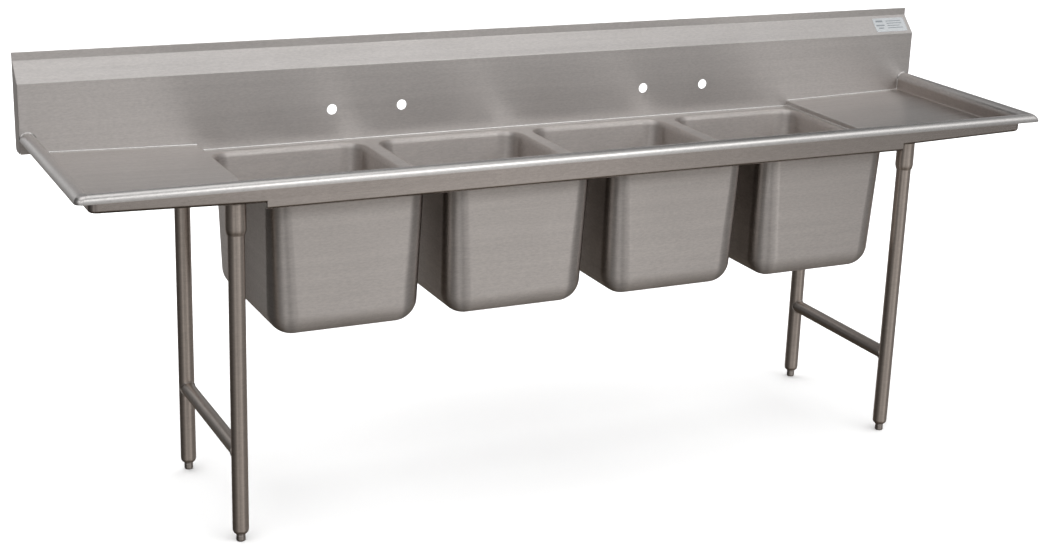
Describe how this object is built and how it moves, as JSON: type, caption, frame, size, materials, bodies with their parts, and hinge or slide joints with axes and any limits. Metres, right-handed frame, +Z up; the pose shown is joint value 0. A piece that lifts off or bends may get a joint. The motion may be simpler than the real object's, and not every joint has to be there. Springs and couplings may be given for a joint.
{
  "type": "compartment sink",
  "caption": "Free-standing stainless steel restaurant sink: deep drawn bowls in a row between two drainboards, with a high back splash, rolled rim, tube legs and adjustable bullet feet.",
  "frame": {"origin": "on the floor, under the middle of the bounding box", "axes": "+X along the length towards the right-hand drainboard, +Y back towards the splash, +Z up"},
  "size_m": [2.7686, 0.6858, 1.159],
  "materials": {
    "bowls": "deep drawn stainless steel, satin",
    "deck": "stainless sheet, satin, grain along the length",
    "drainboards": "stainless sheet, satin, grain along the length",
    "rolled_rims": "stainless sheet, satin with a brighter roll",
    "splash": "stainless sheet, satin, grain along the length",
    "label": "blank silver-white sticker, satin",
    "channels": "stainless plate, mill finish",
    "sockets": "stainless, satin",
    "set_screws": "stainless, turned",
    "legs": "stainless tube, satin, grain along the tube",
    "inserts": "stainless, turned",
    "studs": "stainless screw stock",
    "feet": "stainless, turned, satin"
  },
  "bodies": {
    "sink": {"bowl_1": "bowls", "bowl_2": "bowls", "bowl_3": "bowls", "bowl_4": "bowls", "bowl_deck": "deck", "drainboard_left": "drainboards", "drainboard_right": "drainboards", "front_rim": "rolled_rims", "left_rim": "rolled_rims", "right_rim": "rolled_rims", "back_splash": "splash", "splash_end_left": "splash", "splash_end_right": "splash", "blank_label": "label", "leg_channel_left": "channels", "leg_channel_right": "channels", "socket_front_left": "sockets", "socket_front_right": "sockets", "socket_rear_left": "sockets", "socket_rear_right": "sockets", "set_screws": "set_screws", "leg_front_left": "legs", "leg_front_right": "legs", "leg_rear_left": "legs", "leg_rear_right": "legs", "side_rail_left": "legs", "side_rail_right": "legs", "insert_front_left": "inserts", "insert_front_right": "inserts", "insert_rear_left": "inserts", "insert_rear_right": "inserts"},
    "stud_front_left_body": {"stud_front_left": "studs"},
    "foot_front_left_body": {"foot_front_left": "feet"},
    "stud_front_right_body": {"stud_front_right": "studs"},
    "foot_front_right_body": {"foot_front_right": "feet"},
    "stud_rear_left_body": {"stud_rear_left": "studs"},
    "foot_rear_left_body": {"foot_rear_left": "feet"},
    "stud_rear_right_body": {"stud_rear_right": "studs"},
    "foot_rear_right_body": {"foot_rear_right": "feet"}
  },
  "joints": [
    {"name": "foot_front_left_height", "type": "slide", "parent": "sink", "child": "stud_front_left_body", "axis": [0, 0, 1], "range_m": [-0.025, 0]},
    {"name": "foot_front_left_turn", "type": "hinge", "parent": "stud_front_left_body", "child": "foot_front_left_body", "pos_m": [-0.986, -0.2389, 0.01], "axis": [0, 0, 1], "range_deg": [-4501, 1]},
    {"name": "foot_front_right_height", "type": "slide", "parent": "sink", "child": "stud_front_right_body", "axis": [0, 0, 1], "range_m": [-0.025, 0]},
    {"name": "foot_front_right_turn", "type": "hinge", "parent": "stud_front_right_body", "child": "foot_front_right_body", "pos_m": [0.986, -0.2389, 0.01], "axis": [0, 0, 1], "range_deg": [-4501, 1]},
    {"name": "foot_rear_left_height", "type": "slide", "parent": "sink", "child": "stud_rear_left_body", "axis": [0, 0, 1], "range_m": [-0.025, 0]},
    {"name": "foot_rear_left_turn", "type": "hinge", "parent": "stud_rear_left_body", "child": "foot_rear_left_body", "pos_m": [-0.986, 0.2411, 0.01], "axis": [0, 0, 1], "range_deg": [-4501, 1]},
    {"name": "foot_rear_right_height", "type": "slide", "parent": "sink", "child": "stud_rear_right_body", "axis": [0, 0, 1], "range_m": [-0.025, 0]},
    {"name": "foot_rear_right_turn", "type": "hinge", "parent": "stud_rear_right_body", "child": "foot_rear_right_body", "pos_m": [0.986, 0.2411, 0.01], "axis": [0, 0, 1], "range_deg": [-4501, 1]}
  ],
  "couplings": [
    {"joint": "foot_front_left_turn", "follows": "foot_front_left_height", "rad_per_m": 3141.6},
    {"joint": "foot_front_right_turn", "follows": "foot_front_right_height", "rad_per_m": 3141.6},
    {"joint": "foot_rear_left_turn", "follows": "foot_rear_left_height", "rad_per_m": 3141.6},
    {"joint": "foot_rear_right_turn", "follows": "foot_rear_right_height", "rad_per_m": 3141.6}
  ]
}
